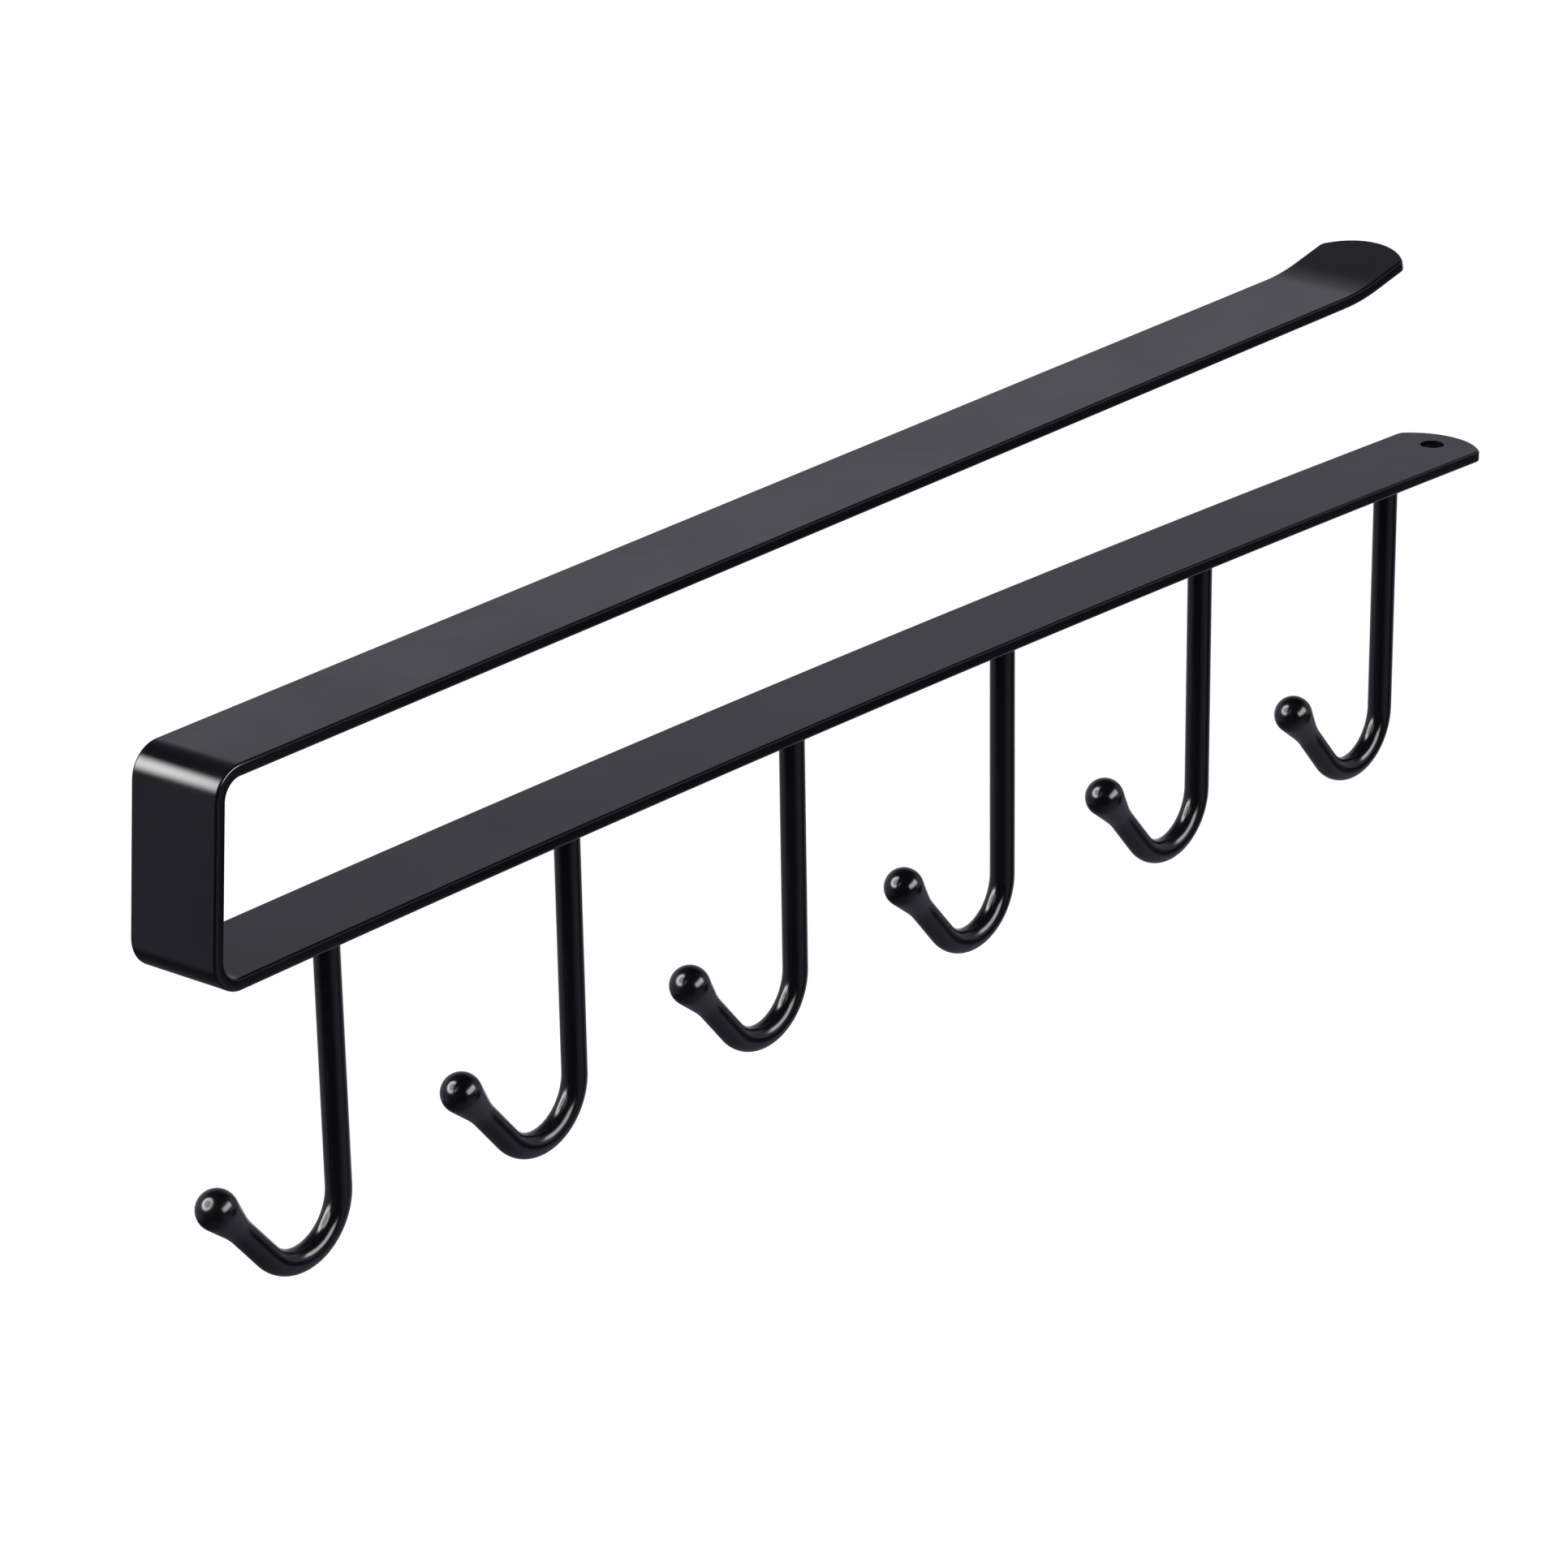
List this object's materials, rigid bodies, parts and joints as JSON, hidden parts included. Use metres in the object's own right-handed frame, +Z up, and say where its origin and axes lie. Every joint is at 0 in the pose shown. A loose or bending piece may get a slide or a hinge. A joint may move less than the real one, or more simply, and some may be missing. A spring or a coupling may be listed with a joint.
{
  "type": "under-shelf mug hook rack",
  "caption": "Black painted flat steel strip folded into a long sideways U that slides onto a shelf, with a row of ball-tipped wire hooks welded under its lower arm.",
  "frame": {"origin": "inner corner where the shelf's top front edge comes home: on the underside of the upper arm, where the web's inner face would meet it, midway across the strip", "axes": "+X along the arms from the fold to the open end, +Y across the strip, +Z up; the upper arm's underside lies level at z = 0"},
  "size_m": [0.2682, 0.0144, 0.0812],
  "materials": {
    "black_coat": "semi-gloss black baked coating over steel"
  },
  "bodies": {
    "root": {"strip": "black_coat", "hook_1": "black_coat", "hook_2": "black_coat", "hook_3": "black_coat", "hook_4": "black_coat", "hook_5": "black_coat", "hook_6": "black_coat"}
  },
  "joints": []
}
